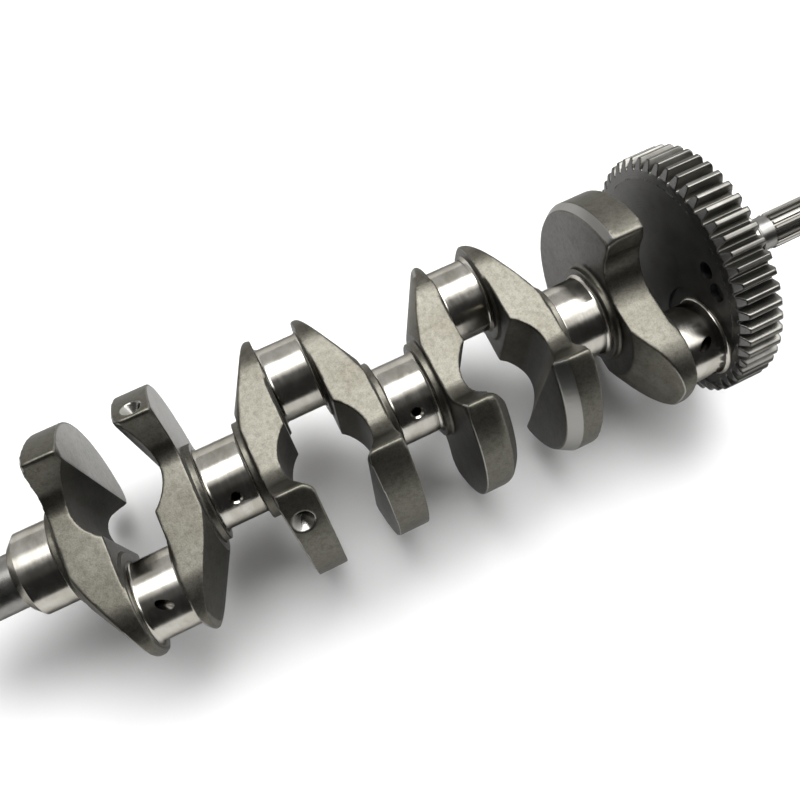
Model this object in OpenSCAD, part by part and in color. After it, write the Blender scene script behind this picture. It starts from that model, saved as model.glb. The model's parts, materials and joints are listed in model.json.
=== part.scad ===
// Crankshaft of a transverse inline-four motorcycle engine: five main journals,
// four crankpins at 180 degrees, seven forged webs with counterweights, an eighth
// web that carries the primary gear, a tapered nose and a splined tail.
// Frame: X runs along the main axis towards the spline, the origin is the centre
// of main journal 3, crankpins 1 and 4 point to -Y and crankpins 2 and 3 to +Y.

/* [Layout] */
// Distance between neighbouring cylinder bores
bore_pitch = 85.5; // [84:0.5:88]
// Offset of a crankpin from the main axis, half the piston stroke
throw = 33; // [31:0.5:34]
// Radius of the main journals
main_r = 19; // [18:0.25:19.5]
// Radius of the crankpins
pin_r = 18; // [17:0.25:18.5]
// Length of a main journal between its shoulders
main_len = 20; // [19:0.5:21]
// Length of a crankpin between its shoulders
pin_len = 20; // [19:0.5:21]
// Radius of the ground fillet at the ends of journals and pins
fillet_r = 1.6; // [1:0.1:2]

/* [Webs] */
// Height of the thrust shoulder on the main journal side of a web
main_shoulder = 3.25; // [2.5:0.25:4]
// Height of the shoulder on the crankpin side of a web
pin_shoulder = 1.25; // [1:0.25:2]
// Radius of the thrust shoulder around a main journal
main_shoulder_r = 23; // [22:0.5:24]
// Radius of the rounded web end around a crankpin
pin_end_r = 23.5; // [23:0.25:24]
// Half width of the web at the main axis
waist_half = 25.2; // [24.5:0.1:26]
// Outer radius of the counterweights
weight_r = 54; // [52:0.5:55]
// Radius of the concave blend between the waist and a counterweight
flare_r = 13; // [10:0.5:15]
// Thickness lost by the bevelled crankpin end per millimetre of radius
bevel_slope = 0.575; // [0.5:0.005:0.65]
// Distance from the main axis at which the draft of a counterweight starts
draft_start = 12; // [8:1:20]
// Depth of the rod clearance scallop
scallop_depth = 8.7; // [7:0.25:9.5]

/* [Primary gear] */
// Number of teeth
gear_teeth = 52; // [48:1:56]
// Tip radius of the teeth
gear_tip_r = 59.4; // [58:0.1:61]
// Root radius of the teeth
gear_root_r = 53.9; // [52.5:0.1:54.5]
// Depth of the ground recess around crankpin 4 in the gear face
gear_recess = 1.25; // [0.5:0.25:2]
// Width of the gear face
gear_width = 19.6; // [17:0.1:20]

/* [Ends] */
// Length of main journal 1 beyond its bearing width
end_overhang = 0.5; // [0.5:0.5:5]
// Radius of the plain nose next to main journal 1
nose_r = 12.6; // [11:0.1:14]
// Radius of the small end of the nose taper
nose_tip_r = 10.2; // [9:0.1:10.5]
// Length of the plain nose
nose_len = 20; // [15:1:30]
// Length of the nose taper
taper_len = 28; // [20:1:32]
// Outer radius of the tail spline
spline_r = 8.9; // [8.7:0.1:9.5]
// Number of teeth of the tail spline
spline_teeth = 20; // [16:1:24]
// Length of the tail spline
spline_len = 42; // [30:1:50]

/* [Drillings] */
// Radius of the oil drillings
oil_r = 2.1; // [1.8:0.1:2.6]
// Radius of the tapped hole in each shaft end
tapped_r = 4.25; // [3.5:0.05:4.4]

/* [Hidden] */

$fn = 96;
eps = 0.01;
big = 200;

// Positions along the main axis
function main_x(i) = (i - 3) * bore_pitch;
function pin_x(i) = (i - 2.5) * bore_pitch;
function pin_y(i) = (i == 1 || i == 4) ? -throw : throw;
web_t = bore_pitch / 2 - main_len / 2 - pin_len / 2;
plate_t = web_t - main_shoulder - pin_shoulder;
nose_x = main_x(1) - main_len / 2 - end_overhang;
tail_x = main_x(5) + main_len / 2;
gear_x = pin_x(4) + pin_len / 2 - gear_recess;
gear_core_r = 50;
gear_recess_r = 25.5;
gear_pitch_r = gear_tip_r - (gear_tip_r - gear_root_r) * 0.41;
gear_base_r = gear_pitch_r * cos(20);
gear_tooth_extra = 0.25;
gear_tooth_angle = 6.1;
tooth_chamfer = 2.6;
end_chamfer = 3.7;
half_disc_r = 53;
half_disc_waist = 23.4;
half_disc_blend_r = 18.3;
scallop_edge = 5.5;
tip_bevel = 1.6;
pin_end_od_r = throw + pin_end_r - 1;
half_disc_cone = 2.8;
half_disc_cone_depth = 3.5;
balance_depth = 7;
oil_sink = 0.9;
gear_back_chamfer = 1.5;
journal_end_chamfer = 1.5;
nose_blend_r = 1.2;
nose_tip_chamfer = 1;
tapped_depth = 22;
tapped_chamfer = 1.2;
spline_depth = 1.15;
spline_chamfer = 0.9;

// Collar between journal 5 and the spline: a step and a longer neck
collar_r = 12.5;
collar_step = 4.4;
collar_chamfer = 0.8;
neck_r = 8.3;
neck_blend = 2;
collar_len = 13.5;

// Blind holes in the gear face: y, z, radius and depth
gear_face_holes = [[-15.9, 36, 4.2, 10], [-26.1, 33.4, 4.5, 3]];

// Angles of the oil holes about their own axes, from +Y towards +Z
main_oil_angle = 130;
lower_pins_oil_angle = 116;
upper_pins_oil_angle = 272;

// Webs 1 to 7: main journal, crankpin, radius where the bevel starts, draft of the
// counterweight on the main journal side and on the crankpin side, radius of the
// scallop (0 for none), inner radius and depth of the cone around the rim
BEVEL = 2;
MAIN_DRAFT = 3;
PIN_DRAFT = 4;
SCALLOP = 5;
CONE = 6;
CONE_DEPTH = 7;
WEBS = [[1, 1, 29, 0.15, 0, 18, 0, 0],
        [2, 1, 27, 0.04, 0.05, 22, 0, 0],
        [2, 2, 26.5, 0.11, 0, 22, 0, 0],
        [3, 2, 26.5, 0.03, 0.06, 22, 0, 0],
        [3, 3, 26.5, 0, 0, 22, 48, 5],
        [4, 3, 26.5, 0.06, 0, 19, 50.3, 6.5],
        [4, 4, 32.5, 0, 0, 0, 0, 0]];

// Web outline in its own frame: u points from the main axis to the crankpin,
// v across. The waist side meets the counterweight flank at a knee.
knee = [-16, waist_half];
flank_tip = [-27.5, 46.5];
flank_dir = (flank_tip - knee) / norm(flank_tip - knee);
flank_turn = acos(-flank_dir[0]);
blend_len = flare_r * tan(flank_turn / 2);
blend_start = knee + [blend_len, 0];
blend_end = knee + flank_dir * blend_len;

// Steel shades
forged = "#6b6860";
ground = "#c9cccf";
turned = "#4d4b48";
cut_teeth = "#7c7972";

// Turns a shape drawn along Z so that it runs along X
module along_x() {
    rotate([0, 90, 0]) children();
}

// Turns an outline in (u, v) into a plate whose thickness runs along X
module plate(thickness) {
    rotate([90, 0, 90]) linear_extrude(thickness) children();
}

// Outline (radius, length) of a ground journal; the shoulder fillets are optional
module journal_profile(r, len, start_fillet, end_fillet) {
    rim = fillet_r * 0.9;
    first = start_fillet ? fillet_r : 0;
    last = end_fillet ? fillet_r : 0;
    difference() {
        square([r + rim, len]);
        translate([r, first == 0 ? -1 : first])
            square([fillet_r + 1, len - first - last + (first == 0 ? 1 : 0) + (last == 0 ? 1 : 0)]);
        if (start_fillet) translate([r + fillet_r, fillet_r]) circle(r = fillet_r, $fn = 32);
        if (end_fillet) translate([r + fillet_r, len - fillet_r]) circle(r = fillet_r, $fn = 32);
    }
}

// Journal or crankpin along X from 0 to len, with a fillet at both ends
module ground_cylinder(r, len) {
    along_x() rotate_extrude() journal_profile(r, len, true, true);
}

// Radial oil hole with a small countersink, from an axis along X at angle a
module oil_hole(r, a) {
    rotate([a - 90, 0, 0]) rotate_extrude($fn = 48) polygon([
        [0, -4], [oil_r, -4], [oil_r, r - oil_sink], [oil_r + 2, r + 1], [0, r + 1]]);
}

// Inclined gallery from the surface of crankpin p to the middle of main journal m
module gallery(p, m) {
    angle = pin_y(p) < 0 ? lower_pins_oil_angle : upper_pins_oil_angle;
    start = [pin_x(p), pin_y(p) + pin_r * cos(angle), pin_r * sin(angle)];
    end = [main_x(m), 0, 0];
    run = end - start;
    unit = run / norm(run);
    translate(start - unit * 4)
        rotate([0, acos(unit[2]), atan2(unit[1], unit[0])])
            cylinder(r = oil_r, h = norm(run) + 4.5, $fn = 48);
}

module main_journal(i) {
    color(ground) difference() {
        translate([main_x(i) - main_len / 2, 0, 0]) ground_cylinder(main_r, main_len);
        children();
    }
}

module crankpin(i) {
    color(ground) difference() {
        translate([pin_x(i) - pin_len / 2, pin_y(i), 0]) ground_cylinder(pin_r, pin_len);
        children();
    }
}

// Rounded end around the crankpin, turned off about the main axis
module pin_end_outline() {
    intersection() {
        translate([throw, 0]) circle(r = pin_end_r);
        circle(r = pin_end_od_r, $fn = 180);
    }
}

// Side of a web from the crankpin end to the flank of the counterweight
module web_waist() {
    difference() {
        union() {
            pin_end_outline();
            polygon([[throw + 0.9, pin_end_r - 0.02], blend_start, blend_end,
                     [blend_end[0], -blend_end[1]], [blend_start[0], -blend_start[1]],
                     [throw + 0.9, -pin_end_r + 0.02]]);
        }
        for (s = [-1, 1])
            translate([blend_start[0], s * (waist_half + flare_r)]) circle(r = flare_r);
    }
}

// Fan-shaped counterweight
module web_fan() {
    intersection() {
        circle(r = weight_r, $fn = 180);
        polygon([[blend_end[0], -blend_end[1]], blend_end,
                 blend_end + flank_dir * 40, [-80, 80], [-80, -80],
                 [blend_end[0] + flank_dir[0] * 40, -blend_end[1] - flank_dir[1] * 40]]);
    }
}

module web_outline() {
    union() {
        web_waist();
        web_fan();
    }
}

// Broader counterweight of web 7, nearly half a disc, with a round blend to the waist
module half_disc_outline() {
    blend_u = 12;
    blend_v = half_disc_waist + half_disc_blend_r;
    flank_u = blend_u - half_disc_blend_r;
    union() {
        pin_end_outline();
        difference() {
            polygon([[throw + 0.9, pin_end_r - 0.02], [blend_u, half_disc_waist],
                     [blend_u, blend_v], [flank_u - 1, blend_v],
                     [flank_u - 1, -blend_v], [blend_u, -blend_v],
                     [blend_u, -half_disc_waist], [throw + 0.9, -pin_end_r + 0.02]]);
            for (s = [-1, 1])
                translate([blend_u, s * blend_v]) circle(r = half_disc_blend_r);
        }
        intersection() {
            circle(r = half_disc_r, $fn = 180);
            polygon([[flank_u, 0], [flank_u, blend_v], [flank_u - 3, 60], [-80, 60],
                     [-80, -60], [flank_u - 3, -60], [flank_u, -blend_v]]);
        }
    }
}

// Cones about the main axis that thin the crankpin end: a broad one from the main
// journal side and a small one on the crankpin side
module pin_end_cones(start_r) {
    reach = plate_t + 2;
    intersection() {
        union() {
            translate([main_shoulder, 0, 0]) along_x() rotate_extrude($fn = 180) polygon([
                [start_r - 1, -1], [start_r, 0], [start_r + reach / bevel_slope, reach],
                [big, reach], [big, -1]]);
            translate([web_t, 0, 0]) along_x() rotate_extrude($fn = 180) polygon([
                [pin_end_od_r - tip_bevel, 1], [pin_end_od_r - tip_bevel, 0],
                [pin_end_od_r + 1, -tip_bevel - 1], [big, -tip_bevel - 1], [big, 1]]);
        }
        translate([-big / 2, 0, -big / 2]) cube(big);
    }
}

// Draft of a counterweight face at x; side is -1 on the main journal side
module weight_draft(x, slope, side) {
    translate([x, -draft_start, -big / 2]) rotate([0, 0, -side * atan(slope)])
        translate([side > 0 ? 0 : -big, -big, 0]) cube([big, big, big]);
}

// Scallop across the crankpin side that clears the connecting rod
module rod_scallop(r) {
    chord = sqrt(pow(r, 2) - pow(r - scallop_depth, 2));
    translate([web_t - pin_shoulder + r - scallop_depth, scallop_edge - chord, -big / 2])
        cylinder(r = r, h = big, $fn = 180);
}

// Cone that breaks the outer edge of a counterweight, on the face at x
module rim_cone(x, r_face, r_rim, depth, side) {
    intersection() {
        translate([x, 0, 0]) along_x() rotate_extrude($fn = 180)
            polygon([[r_face, side * eps], [r_face + big, side * eps],
                     [2 * r_rim - r_face, -side * depth * 2]]);
        translate([-big / 2, -big, -big / 2]) cube([big, big, big]);
    }
}

// One web between x = 0 at the main journal and x = web_t at the crankpin
module web_body(spec) {
    half_disc = spec[SCALLOP] == 0;
    pin_face_x = web_t - pin_shoulder;
    difference() {
        union() {
            translate([main_shoulder, 0, 0]) plate(plate_t)
                if (half_disc) half_disc_outline(); else web_outline();
            along_x() cylinder(r = main_shoulder_r, h = main_shoulder + 1);
            translate([pin_face_x - 1, 0, 0]) plate(pin_shoulder + 1) pin_end_outline();
        }
        pin_end_cones(spec[BEVEL]);
        if (!half_disc) rod_scallop(spec[SCALLOP]);
        if (spec[MAIN_DRAFT] > 0) weight_draft(main_shoulder, spec[MAIN_DRAFT], -1);
        if (spec[PIN_DRAFT] > 0) weight_draft(pin_face_x, spec[PIN_DRAFT], 1);
        if (spec[CONE] > 0) rim_cone(pin_face_x, spec[CONE], weight_r, spec[CONE_DEPTH], 1);
        if (half_disc)
            rim_cone(main_shoulder, half_disc_r - half_disc_cone, half_disc_r, half_disc_cone_depth, -1);
    }
}

// Places a web: journal is the main journal number, pin the crankpin number
module place_web(journal, pin) {
    towards = pin_x(pin) > main_x(journal) ? 1 : -1;
    translate([main_x(journal) + towards * main_len / 2, 0, 0])
        scale_side(towards) flip_side(pin_y(pin) > 0 ? 1 : -1) children();
}
module scale_side(s) {
    if (s > 0) children(); else mirror([1, 0, 0]) children();
}
module flip_side(s) {
    if (s > 0) children(); else mirror([0, 1, 0]) children();
}

// Conical balance drilling in the rim of a counterweight
module balance_drilling(x, a, mouth_r) {
    translate([x, 0, 0]) rotate([a - 90, 0, 0]) rotate_extrude() polygon([
        [0, weight_r - balance_depth], [mouth_r, weight_r - 0.3],
        [mouth_r + 0.6, weight_r + 4], [0, weight_r + 4]]);
}

// Web number i in its place
module web(i) {
    spec = WEBS[i - 1];
    color(forged) difference() {
        place_web(spec[0], spec[1]) web_body(spec);
        children();
    }
}

// Web 8 is the round core of the primary gear
module web_8() {
    core_len = main_x(5) - main_len / 2 - gear_x;
    color(turned) difference() {
        translate([gear_x, 0, 0]) union() {
            along_x() cylinder(r = gear_core_r, h = gear_width);
            along_x() cylinder(r = main_shoulder_r, h = core_len);
        }
        crankpin_recess();
        gallery(4, 5);
        for (hole = gear_face_holes)
            translate([gear_x - 1, hole[0], hole[1]])
                along_x() cylinder(r = hole[2], h = hole[3] + 1);
    }
}

// Ground recess around the end of crankpin 4
module crankpin_recess() {
    translate([gear_x - 1, pin_y(4), 0])
        along_x() cylinder(r = gear_recess_r, h = gear_recess + 1);
}

// Involute tooth: half angle of the tooth at radius r, in degrees
function involute_angle(r) = sqrt(pow(r / gear_base_r, 2) - 1) * 180 / PI
    - acos(gear_base_r / r);
function tooth_half_angle(r) = 90 / gear_teeth + gear_tooth_extra
    + involute_angle(gear_pitch_r) - involute_angle(max(r, gear_base_r));
function polar(r, a) = [r * cos(a), r * sin(a)];

// Outline of the toothed ring, with a radial root below each flank
module gear_outline() {
    pitch_angle = 360 / gear_teeth;
    flank_r = [for (i = [0:4]) gear_root_r + 0.7 + (gear_tip_r - gear_root_r - 0.7) * i / 4];
    polygon([for (k = [0:gear_teeth - 1]) let (mid = gear_tooth_angle + k * pitch_angle) each concat(
        [polar(gear_root_r, mid - tooth_half_angle(gear_root_r) - 0.3)],
        [for (i = [0:4]) polar(flank_r[i], mid - tooth_half_angle(flank_r[i]))],
        [for (i = [4:-1:0]) polar(flank_r[i], mid + tooth_half_angle(flank_r[i]))],
        [polar(gear_root_r, mid + tooth_half_angle(gear_root_r) + 0.3)])]);
}

// Toothed ring of the primary gear with chamfered tooth ends
module primary_gear() {
    color(cut_teeth) difference() {
        translate([gear_x, 0, 0]) intersection() {
            plate(gear_width) gear_outline();
            along_x() rotate_extrude($fn = 180) polygon([
                [0, 0], [gear_root_r + 0.8, 0], [gear_tip_r + 0.5, tooth_chamfer],
                [gear_tip_r + 0.5, gear_width - gear_back_chamfer],
                [gear_tip_r - gear_back_chamfer, gear_width], [0, gear_width]]);
        }
        translate([gear_x - 1, 0, 0]) along_x() cylinder(r = gear_core_r, h = gear_width + 2);
        crankpin_recess();
    }
}

// Main journal 1 runs past its bearing and ends in a broad chamfer
module main_journal_1() {
    len = main_len + end_overhang;
    color(ground) difference() {
        translate([nose_x, 0, 0]) along_x() rotate_extrude() difference() {
            journal_profile(main_r, len, false, true);
            translate([main_r - end_chamfer, 0])
                polygon([[0, -1], [end_chamfer + 2, -1], [end_chamfer + 2, end_chamfer],
                         [end_chamfer, end_chamfer], [0, 0]]);
        }
        gallery(1, 1);
        translate([main_x(1), 0, 0]) oil_hole(main_r, main_oil_angle + 180);
    }
}

module main_journal_5() {
    color(ground) difference() {
        translate([tail_x - main_len, 0, 0]) along_x() rotate_extrude() difference() {
            journal_profile(main_r, main_len, true, false);
            translate([main_r - journal_end_chamfer, main_len])
                polygon([[0, 1], [0, 0], [journal_end_chamfer, -journal_end_chamfer],
                         [4, -journal_end_chamfer], [4, 1]]);
        }
        gallery(4, 5);
        translate([main_x(5), 0, 0]) oil_hole(main_r, main_oil_angle + 180);
    }
}

// Plain nose; the tapped hole of its tip starts in the taper
module nose_shaft() {
    color(turned) translate([nose_x - nose_len, 0, 0]) along_x() rotate_extrude() difference() {
        square([nose_r + nose_blend_r, nose_len]);
        translate([nose_r, -1]) square([4, nose_len + 1 - nose_blend_r]);
        translate([nose_r + nose_blend_r, nose_len - nose_blend_r])
            circle(r = nose_blend_r, $fn = 32);
    }
}

// Taper for the rotor, with a chamfered tip and a tapped hole
module nose_taper() {
    tip_x = nose_x - nose_len - taper_len;
    color(turned) difference() {
        translate([tip_x, 0, 0]) along_x() rotate_extrude() polygon([
            [0, 0], [nose_tip_r - nose_tip_chamfer, 0], [nose_tip_r, nose_tip_chamfer],
            [nose_r - 0.4, taper_len - 2], [nose_r - 0.4, taper_len], [0, taper_len]]);
        translate([tip_x - 1, 0, 0]) along_x() cylinder(r = tapped_r, h = tapped_depth + 1);
        translate([tip_x - eps, 0, 0])
            along_x() cylinder(r1 = tapped_r + tapped_chamfer, r2 = tapped_r, h = tapped_chamfer);
    }
}

// Collar between main journal 5 and the spline, with a blend into its neck
module tail_collar() {
    color(ground) translate([tail_x, 0, 0]) along_x() rotate_extrude() difference() {
        polygon([
            [0, 0], [collar_r, 0], [collar_r, collar_step - collar_chamfer],
            [collar_r - collar_chamfer, collar_step], [neck_r + neck_blend, collar_step],
            [neck_r + neck_blend, collar_step + neck_blend], [neck_r, collar_step + neck_blend],
            [neck_r, collar_len], [0, collar_len]]);
        translate([neck_r + neck_blend, collar_step + neck_blend]) circle(r = neck_blend, $fn = 32);
    }
}

// Splined tail with straight-sided teeth and a tapped hole
module tail_spline() {
    root_r = spline_r - spline_depth;
    pitch_angle = 360 / spline_teeth;
    start_x = tail_x + collar_len;
    color(cut_teeth) difference() {
        translate([start_x, 0, 0]) intersection() {
            plate(spline_len) polygon([for (k = [0:spline_teeth - 1])
                for (p = [[root_r, -0.36], [root_r + 0.25, -0.31], [spline_r, -0.19],
                          [spline_r, 0.19], [root_r + 0.25, 0.31], [root_r, 0.36]])
                    polar(p[0], (k + p[1]) * pitch_angle)]);
            along_x() rotate_extrude() polygon([
                [0, 0], [root_r + 0.5, 0], [spline_r + 0.3, spline_chamfer],
                [spline_r + 0.3, spline_len - spline_depth], [root_r, spline_len], [0, spline_len]]);
        }
        translate([start_x + spline_len - tapped_depth, 0, 0])
            along_x() cylinder(r = tapped_r, h = tapped_depth + 1);
        translate([start_x + spline_len - tapped_chamfer + eps, 0, 0])
            along_x() cylinder(r1 = tapped_r, r2 = tapped_r + tapped_chamfer, h = tapped_chamfer);
    }
}

nose_shaft();
nose_taper();
main_journal_1();
main_journal(2) {  // main_journal_2
    gallery(2, 2);
    translate([main_x(2), 0, 0]) oil_hole(main_r, main_oil_angle);
}
main_journal(3) {  // main_journal_3
    gallery(3, 3);
    translate([main_x(3), 0, 0]) oil_hole(main_r, main_oil_angle);
}
main_journal(4);  // main_journal_4
main_journal_5();
web(1) gallery(1, 1);  // web_1
web(2) balance_drilling(-107.5, 52, 4.4);  // web_2
web(3) {  // web_3
    gallery(2, 2);
    balance_drilling(-63.2, 137, 4.7);
}
web(4);  // web_4
web(5) gallery(3, 3);  // web_5
web(6);  // web_6
web(7);  // web_7
web_8();
crankpin(1) gallery(1, 1);  // crankpin_1
crankpin(2) gallery(2, 2);  // crankpin_2
crankpin(3) gallery(3, 3);  // crankpin_3
crankpin(4) gallery(4, 5);  // crankpin_4
primary_gear();
tail_collar();
tail_spline();
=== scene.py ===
"""Looks of the crankshaft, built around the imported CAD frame. Every length is in metres.

X runs along the main axis from the nose to the spline, crankpins 1 and 4 point to -Y,
and +Z is up. The forged webs and the gear's toothed ring are remeshed copies of their CAD
nodes with rounded edges. Journals, crankpins, gear core, nose and tail are the CAD nodes
themselves with finished materials.
"""
import json
import math

import bmesh
import bpy
from mathutils import Matrix, Vector


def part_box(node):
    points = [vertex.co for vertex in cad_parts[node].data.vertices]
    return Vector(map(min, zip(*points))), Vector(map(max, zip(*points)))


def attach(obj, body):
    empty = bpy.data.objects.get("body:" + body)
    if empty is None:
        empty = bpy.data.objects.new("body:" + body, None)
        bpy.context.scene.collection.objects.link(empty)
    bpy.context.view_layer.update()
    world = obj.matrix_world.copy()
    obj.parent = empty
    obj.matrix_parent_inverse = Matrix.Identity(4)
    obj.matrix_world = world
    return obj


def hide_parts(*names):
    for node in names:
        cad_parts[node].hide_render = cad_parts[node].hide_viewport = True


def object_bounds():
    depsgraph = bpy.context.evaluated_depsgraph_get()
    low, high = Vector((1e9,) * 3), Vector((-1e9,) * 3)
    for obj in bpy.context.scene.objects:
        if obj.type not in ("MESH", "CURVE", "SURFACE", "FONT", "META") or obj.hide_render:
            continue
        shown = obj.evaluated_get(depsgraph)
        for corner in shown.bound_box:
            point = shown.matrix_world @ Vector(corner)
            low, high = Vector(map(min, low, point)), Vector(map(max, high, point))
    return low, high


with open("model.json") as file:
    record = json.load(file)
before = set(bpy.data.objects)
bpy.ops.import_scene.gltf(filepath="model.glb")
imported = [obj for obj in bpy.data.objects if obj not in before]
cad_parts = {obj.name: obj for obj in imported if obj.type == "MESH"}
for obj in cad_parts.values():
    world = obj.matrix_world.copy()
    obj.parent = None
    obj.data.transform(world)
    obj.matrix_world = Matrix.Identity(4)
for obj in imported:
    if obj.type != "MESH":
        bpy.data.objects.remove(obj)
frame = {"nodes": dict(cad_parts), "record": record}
cad_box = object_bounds()
MM = 0.001

# --- sizes read from the frame --------------------------------------------------------
WEBS = ["web_%d" % i for i in range(1, 8)]
FLOOR_Z = cad_box[0].z

# --- looks that the materials share -----------------------------------------------------
FORGED_DARK = (0.098, 0.093, 0.077)
FORGED_LIGHT = (0.158, 0.152, 0.131)
FACE_GREY = (0.150, 0.148, 0.143)
# painted highlight on the flat faces towards the spline at the web planes
FACE_PAINTED_HIGHLIGHT = (0.360, 0.355, 0.340)
RIM_OLIVE = (0.130, 0.126, 0.106)
# painted shade on faces that lean towards the spline
TAILSIDE_PAINTED_SHADE = (0.042, 0.040, 0.034)
# painted reflection on the outer web cones that lean towards the nose
CONE_PAINTED_REFLECTION = (0.260, 0.256, 0.240)
DRILLED = (0.26, 0.255, 0.235)
TURNED_DARK = (0.098, 0.097, 0.095)
TURNED_LIGHT = (0.150, 0.148, 0.144)
# painted shade on the tooth-end chamfers of the gear
CHAMFER_PAINTED_SHADE = (0.052, 0.051, 0.049)
TEETH_DARK = (0.125, 0.122, 0.110)
TEETH_LIGHT = (0.195, 0.190, 0.174)
RIM_RADIUS = 53.3 * MM
# the outer plane of a web repeats at every half bore pitch, counted from this offset
HALF_PITCH = 42.75 * MM
PLANE_OFFSET = 9.5 * MM
CONE_INSIDE = 48.5 * MM
DRILLING_RADIUS = 51 * MM
DRILLING_REACH = 5.3 * MM


def on_rim(x, degrees):
    """Middle of a balance drilling: place along the main axis, angle from +Y towards +Z."""
    angle = math.radians(degrees)
    return (x, DRILLING_RADIUS * math.cos(angle), DRILLING_RADIUS * math.sin(angle))


BALANCE_DRILLINGS = [on_rim(-107.5 * MM, 52), on_rim(-63.2 * MM, 137)]


# --- node helpers ---------------------------------------------------------------------
class Graph:
    """Short calls for building a material's nodes."""

    def __init__(self, name):
        self.material = bpy.data.materials.new(name)
        self.material.use_nodes = True
        self.tree = self.material.node_tree
        self.shader = self.tree.nodes["Principled BSDF"]

    def node(self, kind, **settings):
        made = self.tree.nodes.new(kind)
        for key, value in settings.items():
            setattr(made, key, value)
        return made

    def link(self, out, target):
        self.tree.links.new(out, target)

    def position(self):
        """Object coordinates in metres; every object sits at the row's origin."""
        return self.node("ShaderNodeTexCoord").outputs["Object"]

    def scaled(self, vector, scale):
        mapping = self.node("ShaderNodeMapping")
        mapping.inputs["Scale"].default_value = scale
        self.link(vector, mapping.inputs["Vector"])
        return mapping.outputs[0]

    def noise(self, vector, scale, detail=2.0, rough=0.5):
        noise = self.node("ShaderNodeTexNoise")
        noise.inputs["Scale"].default_value = scale
        noise.inputs["Detail"].default_value = detail
        noise.inputs["Roughness"].default_value = rough
        self.link(vector, noise.inputs["Vector"])
        return noise.outputs["Fac"]

    def ramp(self, value, stops):
        ramp = self.node("ShaderNodeValToRGB")
        elements = ramp.color_ramp.elements
        while len(elements) < len(stops):
            elements.new(0.5)
        for element, (place, colour) in zip(elements, stops):
            element.position = place
            element.color = (*colour, 1) if len(colour) == 3 else colour
        self.link(value, ramp.inputs[0])
        return ramp.outputs[0]

    def spread(self, value, low, high, start=0.0, end=1.0):
        """Maps start..end of a value to low..high."""
        mapped = self.node("ShaderNodeMapRange")
        mapped.inputs["From Min"].default_value = start
        mapped.inputs["From Max"].default_value = end
        mapped.inputs["To Min"].default_value = low
        mapped.inputs["To Max"].default_value = high
        self.link(value, mapped.inputs["Value"])
        return mapped.outputs["Result"]

    def math(self, operation, first, second):
        made = self.node("ShaderNodeMath", operation=operation)
        for socket, value in zip(made.inputs, (first, second)):
            if isinstance(value, (int, float)):
                socket.default_value = value
            else:
                self.link(value, socket)
        return made.outputs[0]

    def mix(self, factor, first, second):
        """Mixes two colours."""
        made = self.node("ShaderNodeMix", data_type="RGBA")
        for socket, value in zip((made.inputs[0], made.inputs[6], made.inputs[7]),
                                 (factor, first, second)):
            if isinstance(value, (int, float)):
                socket.default_value = value
            elif isinstance(value, tuple):
                socket.default_value = (*value, 1)
            else:
                self.link(value, socket)
        return made.outputs[2]

    def multiply(self, first, second, strength):
        """Multiplies the first colour by the second."""
        made = self.node("ShaderNodeMix", data_type="RGBA", blend_type="MULTIPLY")
        made.inputs[0].default_value = strength
        self.link(first, made.inputs[6])
        self.link(second, made.inputs[7])
        return made.outputs[2]

    def mask(self, value, start, end):
        """0 at start, 1 at end, smooth between them."""
        mapped = self.node("ShaderNodeMapRange", interpolation_type="SMOOTHSTEP")
        mapped.inputs["From Min"].default_value = start
        mapped.inputs["From Max"].default_value = end
        self.link(value, mapped.inputs["Value"])
        return mapped.outputs["Result"]

    def along(self, vector):
        """Place along the main axis."""
        split = self.node("ShaderNodeSeparateXYZ")
        self.link(vector, split.inputs[0])
        return split.outputs["X"]

    def normal_x(self):
        """X of the surface normal: 1 on a face towards the spline, -1 towards the nose."""
        split = self.node("ShaderNodeSeparateXYZ")
        self.link(self.node("ShaderNodeTexCoord").outputs["Normal"], split.inputs[0])
        return split.outputs["X"]

    def axis_part(self):
        """How squarely a surface faces along the main axis, 0 to 1."""
        return self.math("ABSOLUTE", self.normal_x(), 0.0)

    def sweep_lines(self, vector):
        """Concentric tool lines about the main axis."""
        rings = self.node("ShaderNodeCombineXYZ")
        self.link(self.radius(vector), rings.inputs["X"])
        return self.noise(self.scaled(rings.outputs[0], (1500, 1, 1)), 1.0, 3.0, 0.75)

    def bump(self, height, strength, distance):
        made = self.node("ShaderNodeBump")
        made.inputs["Strength"].default_value = strength
        made.inputs["Distance"].default_value = distance
        self.link(height, made.inputs["Height"])
        self.link(made.outputs[0], self.shader.inputs["Normal"])

    def radius(self, vector):
        """Distance from the main axis."""
        split = self.node("ShaderNodeSeparateXYZ")
        self.link(vector, split.inputs[0])
        flat = self.node("ShaderNodeCombineXYZ")
        self.link(split.outputs["Y"], flat.inputs["Y"])
        self.link(split.outputs["Z"], flat.inputs["Z"])
        length = self.node("ShaderNodeVectorMath", operation="LENGTH")
        self.link(flat.outputs[0], length.inputs[0])
        return length.outputs["Value"]

    def distance(self, vector, point):
        """Distance from a fixed point."""
        made = self.node("ShaderNodeVectorMath", operation="DISTANCE")
        self.link(vector, made.inputs[0])
        made.inputs[1].default_value = point
        return made.outputs["Value"]

    def finish(self, metallic, colour, roughness, edge=1.0):
        """Sets the shader; edge dims what a surface mirrors at a glancing angle."""
        self.shader.inputs["Metallic"].default_value = metallic
        self.shader.inputs["Specular Tint"].default_value = (edge, edge, edge, 1)
        if isinstance(colour, tuple):
            self.shader.inputs["Base Color"].default_value = (*colour, 1)
        else:
            self.link(colour, self.shader.inputs["Base Color"])
        if isinstance(roughness, float):
            self.shader.inputs["Roughness"].default_value = roughness
        else:
            self.link(roughness, self.shader.inputs["Roughness"])
        return self.material


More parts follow.
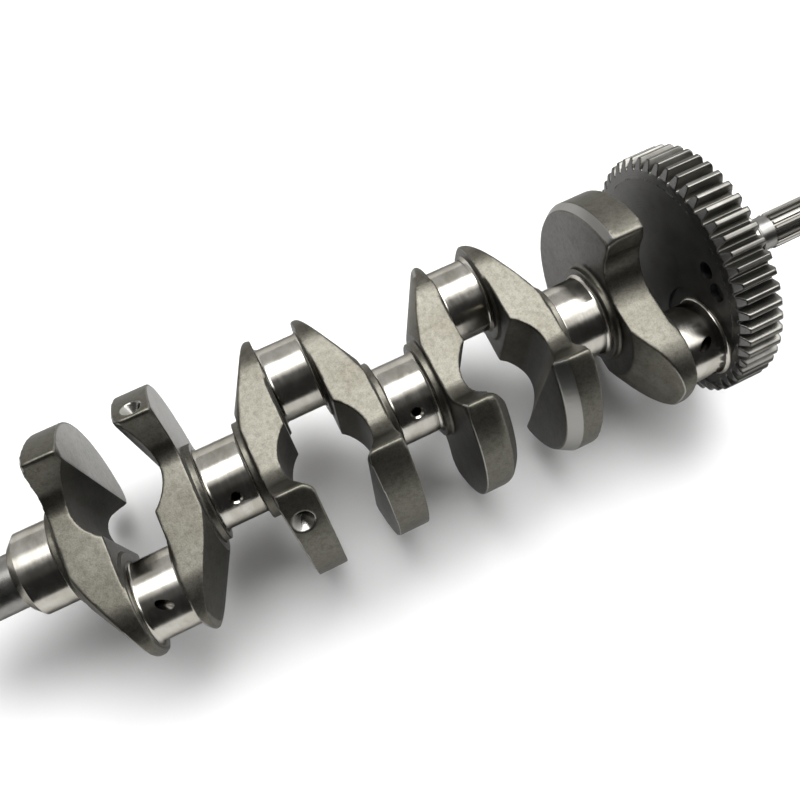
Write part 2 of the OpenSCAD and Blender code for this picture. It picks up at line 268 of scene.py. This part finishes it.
# --- materials ------------------------------------------------------------------------
def ground_steel():
    """Ground and polished journals: mirror steel with fine grinding lines and smears."""
    g = Graph("ground_steel")
    pos = g.position()
    fine = g.noise(g.scaled(pos, (5200, 45, 45)), 1.0, 3.0, 0.6)
    coarse = g.noise(g.scaled(pos, (900, 25, 25)), 1.0, 2.0, 0.5)
    smears = g.noise(g.scaled(pos, (140, 90, 90)), 1.0, 4.0, 0.6)
    colour = g.ramp(smears, [(0.36, (0.36, 0.342, 0.300)), (0.66, (0.49, 0.472, 0.430))])
    rough = g.math("ADD", g.spread(smears, 0.13, 0.21, 0.3, 0.75),
                   g.spread(coarse, 0.0, 0.06, 0.4, 0.8))
    lines = g.math("ADD", fine, g.math("MULTIPLY", coarse, 1.6))
    g.bump(lines, 0.22, 0.00002)
    return g.finish(1.0, colour, rough, 0.22)


def forged_steel():
    """Shot-blasted forging: warm and blotchy, with smoother turned rims and end faces; painted shade on
    faces leaning towards the spline, a painted highlight on tail-facing web planes and a painted
    reflection on nose-facing outer cones.
    """
    g = Graph("forged_steel")
    pos = g.position()
    cloud = g.noise(pos, 40.0, 5.0, 0.6)
    blotch = g.noise(pos, 420.0, 5.0, 0.7)
    grain = g.noise(pos, 1500.0, 2.0, 0.6)
    lathe = g.noise(g.scaled(pos, (1600, 60, 60)), 1.0, 3.0, 0.6)
    warm = g.ramp(cloud, [(0.34, FORGED_DARK), (0.66, FORGED_LIGHT)])
    face = g.mask(g.axis_part(), 0.90, 0.97)
    towards_tail = g.normal_x()
    pitches = g.math("MULTIPLY", g.math("ADD", g.along(pos), PLANE_OFFSET), 1 / HALF_PITCH)
    step = g.math("FRACT", pitches, 0.0)
    # painted highlight: a paler grey on the flat faces towards the spline at the web planes
    tailside_plane_highlight = g.math("MULTIPLY", g.mask(towards_tail, 0.90, 0.97), g.mask(step, 0.82, 0.86))
    # painted shade: dark colour on faces that lean towards the spline, except the highlighted planes;
    # the same mask lowers metallic and raises roughness there
    scale = g.math("MULTIPLY", g.mask(towards_tail, 0.40, 0.55),
                   g.math("SUBTRACT", 1.0, tailside_plane_highlight))
    # painted reflection: a pale band on the outer cones that lean towards the nose
    cone = g.math("MULTIPLY", g.mask(towards_tail, -0.78, -0.70), g.mask(towards_tail, -0.30, -0.40))
    cone = g.math("MULTIPLY", cone, g.mask(g.radius(pos), CONE_INSIDE, CONE_INSIDE + 0.001))
    rim = g.mask(g.radius(pos), RIM_RADIUS - 0.0006, RIM_RADIUS)
    colour = g.mix(face, warm, FACE_GREY)
    colour = g.mix(tailside_plane_highlight, colour, FACE_PAINTED_HIGHLIGHT)
    colour = g.mix(scale, colour, TAILSIDE_PAINTED_SHADE)
    colour = g.mix(g.math("MULTIPLY", rim, 0.85), colour, RIM_OLIVE)
    patches = g.ramp(blotch, [(0.30, (0.70, 0.69, 0.66)), (0.52, (1.0, 1.0, 1.0)),
                              (0.75, (1.16, 1.15, 1.12))])
    colour = g.multiply(colour, patches, 0.9)
    specks = g.ramp(grain, [(0.32, (0.72, 0.71, 0.69)), (0.60, (1.05, 1.05, 1.05))])
    colour = g.multiply(colour, specks, 0.65)
    pits = g.math("ADD", grain, g.math("MULTIPLY", blotch, 0.8))
    turned = g.math("MULTIPLY", g.math("MULTIPLY", lathe, rim), 0.5)
    g.bump(g.math("ADD", pits, turned), 0.32, 0.00012)
    rough = g.math("SUBTRACT", g.spread(cloud, 0.36, 0.45, 0.3, 0.7),
                   g.math("MULTIPLY", face, 0.05))
    colour = g.mix(cone, colour, CONE_PAINTED_REFLECTION)
    rough = g.math("MULTIPLY", rough, g.spread(cone, 1.0, 0.75))
    rough = g.math("MULTIPLY", rough, g.spread(scale, 1.0, 1.75))
    g.link(g.spread(scale, 1.0, 0.3), g.shader.inputs["Metallic"])
    for drilling in BALANCE_DRILLINGS:
        cut = g.mask(g.distance(pos, drilling), DRILLING_REACH + 0.0002, DRILLING_REACH - 0.0002)
        colour = g.mix(cut, colour, DRILLED)
        rough = g.math("MULTIPLY", rough, g.spread(cut, 1.0, 0.6))
    return g.finish(1.0, colour, rough, 0.55)


def turned_dark():
    """Dark turned face of the gear core with concentric tool lines."""
    g = Graph("turned_dark")
    pos = g.position()
    sweep = g.sweep_lines(pos)
    cloud = g.noise(pos, 70.0, 3.0, 0.6)
    colour = g.ramp(cloud, [(0.3, TURNED_DARK), (0.7, TURNED_LIGHT)])
    colour = g.multiply(colour, g.ramp(sweep, [(0.3, (0.75, 0.75, 0.75)), (0.7, (1.2, 1.2, 1.2))]), 0.6)
    g.bump(sweep, 0.3, 0.00005)
    return g.finish(0.95, colour, g.spread(cloud, 0.36, 0.46, 0.3, 0.7), 0.5)


def cut_teeth():
    """Gear teeth: satin grey with streaks along the tooth, and the turned face inside them; the
    tooth-end chamfers get painted shade.
    """
    g = Graph("cut_teeth")
    pos = g.position()
    streak = g.noise(g.scaled(pos, (45, 1400, 1400)), 1.0, 3.0, 0.6)
    cloud = g.noise(pos, 90.0, 4.0, 0.65)
    steel = g.ramp(cloud, [(0.3, TEETH_DARK), (0.7, TEETH_LIGHT)])
    face = g.ramp(g.sweep_lines(pos), [(0.3, TURNED_DARK), (0.7, TURNED_LIGHT)])
    inside = g.mask(g.axis_part(), 0.3, 0.6)
    colour = g.mix(inside, steel, face)
    # painted shade: dark colour on the tooth-end chamfers
    chamfer = g.math("MULTIPLY", g.mask(g.axis_part(), 0.30, 0.48), g.mask(g.axis_part(), 0.88, 0.72))
    colour = g.mix(chamfer, colour, CHAMFER_PAINTED_SHADE)
    g.bump(streak, 0.3, 0.00004)
    return g.finish(0.95, colour, g.spread(streak, 0.26, 0.40, 0.3, 0.7), 0.5)


def rolled_spline():
    """Rolled spline: satin with drawn lines along the axis."""
    g = Graph("rolled_spline")
    pos = g.position()
    streak = g.noise(g.scaled(pos, (60, 2600, 2600)), 1.0, 3.0, 0.6)
    colour = g.ramp(streak, [(0.3, (0.16, 0.155, 0.14)), (0.7, (0.27, 0.262, 0.24))])
    g.bump(streak, 0.25, 0.00003)
    return g.finish(0.98, colour, g.spread(streak, 0.22, 0.34, 0.3, 0.7), 0.35)


def turned_end():
    """Turned and ground shaft ends: satin steel with lathe lines."""
    g = Graph("turned_end")
    pos = g.position()
    lines = g.noise(g.scaled(pos, (3200, 30, 30)), 1.0, 3.0, 0.65)
    smears = g.noise(pos, 120.0, 4.0, 0.65)
    colour = g.ramp(smears, [(0.3, (0.20, 0.195, 0.183)), (0.7, (0.29, 0.285, 0.27))])
    g.bump(lines, 0.3, 0.00003)
    return g.finish(1.0, colour, g.spread(smears, 0.26, 0.36, 0.3, 0.7), 0.35)


MATERIALS = {
    "ground_journal": ground_steel(),
    "forged_web": forged_steel(),
    "turned_web": turned_dark(),
    "gear_teeth": cut_teeth(),
    "spline_teeth": rolled_spline(),
    "turned_end": turned_end(),
}
SLOT_OF = {part["node"]: part["material_slot"] for part in frame["record"]["subparts"]}


def dress(obj, material):
    """Gives an object one material on every slot."""
    if not obj.material_slots:
        obj.data.materials.append(material)
    for slot in obj.material_slots:
        slot.material = material


for name, obj in frame["nodes"].items():
    dress(obj, MATERIALS[SLOT_OF[name]])


# --- forged webs ----------------------------------------------------------------------
REMESH_VOXEL = 0.55 * MM
WEB_SHARE = 0.4
SMOOTH_STEPS = 4
CORNER_STEPS = 110
CORNER_REACH = 6.0 * MM
WEIGHT_RADIUS = 54 * MM
CONE_RADIUS = 45 * MM
CONE_BEHIND = 9.5 * MM
# corner between flank and rim, across the web, as an angle from the counterweight's axis
CORNER_ANGLE = {"web_7": 81.5}
CORNER_ANGLE_FAN = 59.4
PIN_TOWARDS_MINUS_Y = ("web_1", "web_2", "web_7")


def apply_modifiers(obj):
    """Replaces an object's mesh by its evaluated one."""
    graph = bpy.context.evaluated_depsgraph_get()
    mesh = bpy.data.meshes.new_from_object(obj.evaluated_get(graph))
    obj.modifiers.clear()
    obj.data = mesh


def remeshed_copy(node, name, voxel):
    """Closed voxel copy of a CAD node's mesh."""
    piece = bpy.data.objects.new(name, frame["nodes"][node].data.copy())
    bpy.context.scene.collection.objects.link(piece)
    bm = bmesh.new()
    bm.from_mesh(piece.data)
    bmesh.ops.remove_doubles(bm, verts=bm.verts, dist=1e-6)
    bm.to_mesh(piece.data)
    bm.free()
    remesh = piece.modifiers.new("remesh", "REMESH")
    remesh.mode = "VOXEL"
    remesh.voxel_size = voxel
    apply_modifiers(piece)
    return piece


def stand_for(piece, node, slot):
    """Smooth shading, material, body and slot of a piece that replaces a CAD node."""
    piece.vertex_groups.clear()
    for face in piece.data.polygons:
        face.use_smooth = True
    piece.data.materials.clear()
    dress(piece, MATERIALS[slot])
    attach(piece, "root")
    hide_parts(node)


def corner_weights(web, node):
    """Vertex group along the two corners between flank and rim, where a die leaves a radius."""
    group = web.vertex_groups.new(name="corner")
    pin_side = -1 if node in PIN_TOWARDS_MINUS_Y else 1
    angle = math.radians(CORNER_ANGLE.get(node, CORNER_ANGLE_FAN))
    corners = [Vector((0, -pin_side * math.cos(angle), side * math.sin(angle))) * WEIGHT_RADIUS
               for side in (-1, 1)]
    for vertex in web.data.vertices:
        flat = Vector((0, vertex.co.y, vertex.co.z))
        near = min((flat - corner).length for corner in corners)
        if near < CORNER_REACH:
            group.add([vertex.index], 1 - near / CORNER_REACH, "REPLACE")
    return group


def smooth(piece, steps, group=None):
    """Rounds a mesh in a number of steps, all over or by a vertex group's weights."""
    modifier = piece.modifiers.new("smooth", "SMOOTH")
    modifier.factor = 0.5
    modifier.iterations = steps
    if group:
        modifier.vertex_group = group.name


def thin_out(piece, share):
    """Keeps a share of the triangles, most of them where the surface bends."""
    modifier = piece.modifiers.new("thin_out", "DECIMATE")
    modifier.ratio = share


def cone_weights(web, node):
    """Vertex group along the outer cone of web 5, which fades into its face."""
    group = web.vertex_groups.new(name="cone")
    cone_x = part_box(node)[1].x - CONE_BEHIND
    for vertex in web.data.vertices:
        radius = math.hypot(vertex.co.y, vertex.co.z)
        if radius > CONE_RADIUS and vertex.co.x > cone_x:
            group.add([vertex.index], min(1, (vertex.co.x - cone_x) / (2 * MM)), "REPLACE")
    return group


def forge_web(node):
    """Remeshed copy of a CAD web, so that every edge has the radius of a forging."""
    web = remeshed_copy(node, node + "_forging", REMESH_VOXEL)
    smooth(web, SMOOTH_STEPS)
    smooth(web, CORNER_STEPS, corner_weights(web, node))
    if node == "web_5":
        smooth(web, CORNER_STEPS, cone_weights(web, node))
    thin_out(web, WEB_SHARE)
    apply_modifiers(web)
    stand_for(web, node, "forged_web")


for node in WEBS:
    forge_web(node)


# --- gear teeth with broken edges ------------------------------------------------------
GEAR_VOXEL = 0.42 * MM
GEAR_FLAT = 52 * MM
GEAR_BORE = 50 * MM
GEAR_SNAP = 0.6 * MM
GEAR_SMOOTH_STEPS = 3
GEAR_SHARE = 0.45
gear = remeshed_copy("primary_gear", "primary_gear_teeth", GEAR_VOXEL)
smooth(gear, GEAR_SMOOTH_STEPS)
thin_out(gear, GEAR_SHARE)
apply_modifiers(gear)
gear_low, gear_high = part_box("primary_gear")
for vertex in gear.data.vertices:
    radius = math.hypot(vertex.co.y, vertex.co.z)
    if radius < GEAR_FLAT:
        for face_x in (gear_low.x, gear_high.x):
            if abs(vertex.co.x - face_x) < GEAR_SNAP:
                vertex.co.x = face_x
        if abs(radius - GEAR_BORE) < GEAR_SNAP:
            vertex.co.y *= GEAR_BORE / radius
            vertex.co.z *= GEAR_BORE / radius
stand_for(gear, "primary_gear", "gear_teeth")
for face in gear.data.polygons:
    if math.hypot(face.center.y, face.center.z) < GEAR_BORE + 0.1 * MM:
        face.use_smooth = False


# --- thrust rings ---------------------------------------------------------------------
RING_TURN = 192
RING_INNER = 18.5 * MM
RING_OUTER = 23.0 * MM
RING_DEPTH = 3.7 * MM
RING_PROUD = 0.03 * MM
RING_SHARP = 25
# (radius, distance behind the ring's face) round a main journal, with a bevelled outer edge
RING_PROFILE = [(RING_INNER, -RING_PROUD), (22.55 * MM, -RING_PROUD), (RING_OUTER, 0.35 * MM),
                (RING_OUTER, RING_DEPTH), (RING_INNER, RING_DEPTH)]


def thrust_ring(node):
    """Crisp ring between a main journal and its web."""
    low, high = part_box(node)
    journal_at_low = int(node[-1]) % 2 == 1
    face_x = low.x if journal_at_low else high.x
    inward = 1 if journal_at_low else -1
    bm = bmesh.new()
    rows = []
    for step in range(RING_TURN):
        turn = 2 * math.pi * step / RING_TURN
        rows.append([bm.verts.new((face_x + inward * depth, radius * math.cos(turn),
                                   radius * math.sin(turn))) for radius, depth in RING_PROFILE])
    count = len(RING_PROFILE)
    for step in range(RING_TURN):
        row, after = rows[step], rows[(step + 1) % RING_TURN]
        for i in range(count):
            j = (i + 1) % count
            bm.faces.new((row[i], row[j], after[j], after[i]))
    bmesh.ops.recalc_face_normals(bm, faces=bm.faces)
    mesh = bpy.data.meshes.new(node + "_thrust_ring")
    bm.to_mesh(mesh)
    bm.free()
    for face in mesh.polygons:
        face.use_smooth = True
    mesh.set_sharp_from_angle(angle=math.radians(RING_SHARP))
    ring = bpy.data.objects.new(node + "_thrust_ring", mesh)
    bpy.context.scene.collection.objects.link(ring)
    dress(ring, MATERIALS["forged_web"])
    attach(ring, "root")


for node in WEBS:
    thrust_ring(node)


# --- camera ---------------------------------------------------------------------------
CAMERA_PLACE = (-0.05362, -0.11778, 0.37433)
CAMERA_LENS = 39.11
CAMERA_RIGHT = Vector((0.898898, -0.437882, -0.015534))
CAMERA_BACK = Vector((-0.129779, -0.299943, 0.945088))


def make_camera():
    """A close camera above the shaft, tilted towards -Y and turned to the nose side."""
    camera = bpy.data.objects.new("camera", bpy.data.cameras.new("camera"))
    bpy.context.scene.collection.objects.link(camera)
    camera.data.lens = CAMERA_LENS
    camera.data.sensor_width = 36
    camera.data.clip_start = 0.01
    camera.data.clip_end = 20
    up = CAMERA_BACK.cross(CAMERA_RIGHT)
    turn = Matrix((CAMERA_RIGHT, up, CAMERA_BACK)).transposed().to_4x4()
    camera.matrix_world = Matrix.Translation(CAMERA_PLACE) @ turn
    bpy.context.scene.camera = camera


# --- floor and light ------------------------------------------------------------------
FLOOR_HALF = 3.0
FLOOR_GAP = 0.2 * MM
FLOOR_GREY = (0.86, 0.86, 0.86)


def make_floor():
    """Pale paper just below the object's lowest point."""
    mesh = bpy.data.meshes.new("floor")
    corners = [(-FLOOR_HALF, -FLOOR_HALF, 0), (FLOOR_HALF, -FLOOR_HALF, 0),
               (FLOOR_HALF, FLOOR_HALF, 0), (-FLOOR_HALF, FLOOR_HALF, 0)]
    mesh.from_pydata(corners, [], [(0, 1, 2, 3)])
    floor = bpy.data.objects.new("floor", mesh)
    bpy.context.scene.collection.objects.link(floor)
    floor.location.z = FLOOR_Z - FLOOR_GAP
    g = Graph("floor_paper")
    floor.data.materials.append(g.finish(0.0, FLOOR_GREY, 0.6))


# the light round the object: level, then stops of (angle about the main axis from +Y over the top
# to -Y, share) and of (X of the direction, share)
ROOM = (0.75, [(0, 0.9), (38, 1.0), (52, 0.7), (66, 0.25), (112, 0.15), (130, 0.05), (180, 0.04)],
        [(-1, 0.9), (1, 1.0)])
MAIN_BOX = (8.4, [(44, 0.0), (62, 1.0), (74, 1.0), (86, 0.15), (100, 0.0)],
            [(-0.44, 0.0), (-0.04, 1.0), (0.34, 1.0), (0.72, 0.0)])
SIDE_BOX = (3.6, [(50, 0.0), (74, 1.0), (106, 1.0), (122, 0.0)],
            [(0.24, 0.0), (0.50, 1.0), (1, 1.0)])
# the plain pale ground that only the camera's own rays see
BACKDROP = 0.97


def make_world():
    """Soft box overhead that leans to +Y, a weaker one towards the gear end, and a dim room."""
    world = bpy.data.worlds.new("studio")
    bpy.context.scene.world = world
    world.use_nodes = True
    tree = world.node_tree
    room = tree.nodes["Background"]

    def add(kind, **settings):
        made = tree.nodes.new(kind)
        for key, value in settings.items():
            setattr(made, key, value)
        return made

    def level_ramp(value, stops):
        ramp = add("ShaderNodeValToRGB")
        ramp.color_ramp.interpolation = "EASE"
        elements = ramp.color_ramp.elements
        while len(elements) < len(stops):
            elements.new(0.5)
        for element, (place, level) in zip(elements, stops):
            element.position = place
            element.color = (level, level, level, 1)
        tree.links.new(value, ramp.inputs[0])
        return ramp.outputs[0]

    def combine(how, first, second):
        made = add("ShaderNodeVectorMath", operation=how)
        tree.links.new(first, made.inputs[0])
        if isinstance(second, float):
            made.inputs[1].default_value = (second, second, second)
        else:
            tree.links.new(second, made.inputs[1])
        return made.outputs[0]

    split = add("ShaderNodeSeparateXYZ")
    tree.links.new(add("ShaderNodeTexCoord").outputs["Generated"], split.inputs[0])
    angle = add("ShaderNodeMath", operation="ARCTAN2")
    tree.links.new(split.outputs["Z"], angle.inputs[0])
    tree.links.new(split.outputs["Y"], angle.inputs[1])
    turn = add("ShaderNodeMapRange")
    turn.inputs["From Max"].default_value = math.pi
    tree.links.new(angle.outputs[0], turn.inputs["Value"])
    along = add("ShaderNodeMapRange")
    along.inputs["From Min"].default_value = -1
    tree.links.new(split.outputs["X"], along.inputs["Value"])
    total = None
    for level, turns, ends in (ROOM, MAIN_BOX, SIDE_BOX):
        share = combine("MULTIPLY",
                        level_ramp(turn.outputs["Result"], [(at / 180, part) for at, part in turns]),
                        level_ramp(along.outputs["Result"], [((at + 1) / 2, part) for at, part in ends]))
        lit = combine("MULTIPLY", share, level)
        total = combine("ADD", total, lit) if total else lit
    tree.links.new(total, room.inputs["Color"])
    backdrop = add("ShaderNodeBackground")
    backdrop.inputs["Color"].default_value = (BACKDROP, BACKDROP, BACKDROP, 1)
    chosen = add("ShaderNodeMixShader")
    tree.links.new(add("ShaderNodeLightPath").outputs["Is Camera Ray"], chosen.inputs[0])
    tree.links.new(room.outputs[0], chosen.inputs[1])
    tree.links.new(backdrop.outputs[0], chosen.inputs[2])
    tree.links.new(chosen.outputs[0], tree.nodes["World Output"].inputs["Surface"])


make_camera()
make_floor()
make_world()
bpy.context.scene.view_settings.view_transform = "Standard"
